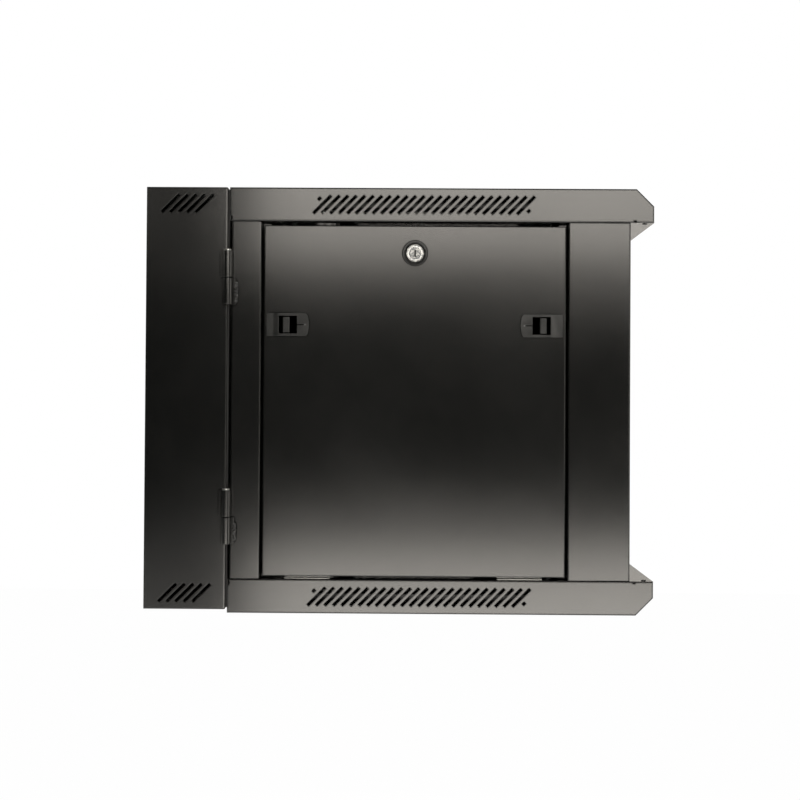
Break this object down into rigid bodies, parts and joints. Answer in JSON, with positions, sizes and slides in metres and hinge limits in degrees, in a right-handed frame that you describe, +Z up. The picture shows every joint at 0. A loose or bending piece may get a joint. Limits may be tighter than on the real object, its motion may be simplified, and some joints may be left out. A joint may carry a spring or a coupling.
{
  "type": "wall mount network cabinet",
  "caption": "Wall-hung rack cabinet: a shallow wall box with a hinged main section, lift-off latched side panels and a lockable glass door.",
  "frame": {"origin": "on the wall, at the centre of the pattern of four wall holes and half way up the main section", "axes": "+Z up, +Y into the wall, the glass door faces -Y, the hinges of the swing section are on the -X side"},
  "size_m": [0.6145, 0.598, 0.501],
  "materials": {
    "paint": "satin",
    "zinc": "satin",
    "chrome": "polished",
    "black_plastic": "matte",
    "nylon": "matte",
    "glass": "clear",
    "seal": "matte"
  },
  "bodies": {
    "wall_section": {"wall_frame": "paint", "back_plate": "paint", "back_plate_screws": "zinc", "wall_cable_covers": "paint", "earth_stud": "zinc", "wall_hinge_knuckles": "paint", "hinge_pins": "chrome", "swing_lock_strike": "paint"},
    "main_section": {"top_cover": "paint", "bottom_cover": "paint", "top_cable_cover": "paint", "bottom_cable_cover": "paint", "rear_post_left": "paint", "rear_post_right": "paint", "front_post_left": "paint", "front_post_right": "paint", "upper_depth_rail_left": "paint", "upper_depth_rail_right": "paint", "lower_depth_rail_left": "paint", "lower_depth_rail_right": "paint", "front_rack_rail_left": "paint", "front_rack_rail_right": "paint", "rear_rack_rail_left": "paint", "rear_rack_rail_right": "paint", "frame_bolts": "zinc", "main_hinge_knuckles": "paint", "nose_plugs": "black_plastic", "door_pivot_bushes": "nylon", "swing_lock_housing": "chrome", "swing_lock_nut": "zinc"},
    "swing_lock": {"swing_lock_plug": "chrome", "swing_lock_cam": "zinc"},
    "door": {"door_frame": "paint", "door_glass": "glass", "door_seal": "seal", "door_glass_clips": "zinc", "door_pivot_pins": "zinc", "door_lock_housing": "chrome", "door_lock_nut": "zinc"},
    "door_lock": {"door_lock_plug": "chrome", "door_lock_cam": "zinc"},
    "left_side_panel": {"left_panel": "paint", "left_latch_bases": "black_plastic", "left_lock_bezel": "black_plastic", "left_lock_housing": "chrome", "left_lock_nut": "zinc"},
    "left_front_latch": {"left_front_latch_slide": "black_plastic"},
    "left_rear_latch": {"left_rear_latch_slide": "black_plastic"},
    "left_panel_lock": {"left_lock_plug": "chrome", "left_lock_cam": "zinc"},
    "right_side_panel": {"right_panel": "paint", "right_latch_bases": "black_plastic", "right_lock_bezel": "black_plastic", "right_lock_housing": "chrome", "right_lock_nut": "zinc"},
    "right_front_latch": {"right_front_latch_slide": "black_plastic"},
    "right_rear_latch": {"right_rear_latch_slide": "black_plastic"},
    "right_panel_lock": {"right_lock_plug": "chrome", "right_lock_cam": "zinc"}
  },
  "joints": [
    {"name": "main_swing", "type": "hinge", "parent": "wall_section", "child": "main_section", "pos_m": [-0.3067, -0.097, 0], "axis": [0, 0, -1], "range_deg": [0, 95]},
    {"name": "swing_lock_turn", "type": "hinge", "parent": "main_section", "child": "swing_lock", "pos_m": [0.3, -0.1185, 0], "axis": [1, 0, 0], "range_deg": [-90, 0]},
    {"name": "door_swing", "type": "hinge", "parent": "main_section", "child": "door", "pos_m": [-0.248, -0.564, 0], "axis": [0, 0, -1], "range_deg": [0, 110]},
    {"name": "door_lock_turn", "type": "hinge", "parent": "door", "child": "door_lock", "pos_m": [0.233, -0.57, 0], "axis": [0, -1, 0], "range_deg": [-90, 0]},
    {"name": "left_panel_tilt", "type": "hinge", "parent": "main_section", "child": "left_side_panel", "pos_m": [-0.3, -0.31675, -0.2069], "axis": [0, -1, 0], "range_deg": [0, 25]},
    {"name": "left_lock_turn", "type": "hinge", "parent": "left_side_panel", "child": "left_panel_lock", "pos_m": [-0.3, -0.31675, 0.1734], "axis": [-1, 0, 0], "range_deg": [-90, 0]},
    {"name": "left_front_latch_slide", "type": "slide", "parent": "left_side_panel", "child": "left_front_latch", "axis": [0, 1, 0], "range_m": [-0.0042, 0.0083]},
    {"name": "left_rear_latch_slide", "type": "slide", "parent": "left_side_panel", "child": "left_rear_latch", "axis": [0, -1, 0], "range_m": [-0.0042, 0.0083]},
    {"name": "right_panel_tilt", "type": "hinge", "parent": "main_section", "child": "right_side_panel", "pos_m": [0.3, -0.31675, -0.2069], "axis": [0, 1, 0], "range_deg": [0, 25]},
    {"name": "right_lock_turn", "type": "hinge", "parent": "right_side_panel", "child": "right_panel_lock", "pos_m": [0.3, -0.31675, 0.1734], "axis": [-1, 0, 0], "range_deg": [-90, 0]},
    {"name": "right_front_latch_slide", "type": "slide", "parent": "right_side_panel", "child": "right_front_latch", "axis": [0, 1, 0], "range_m": [-0.0042, 0.0083]},
    {"name": "right_rear_latch_slide", "type": "slide", "parent": "right_side_panel", "child": "right_rear_latch", "axis": [0, -1, 0], "range_m": [-0.0042, 0.0083]}
  ]
}
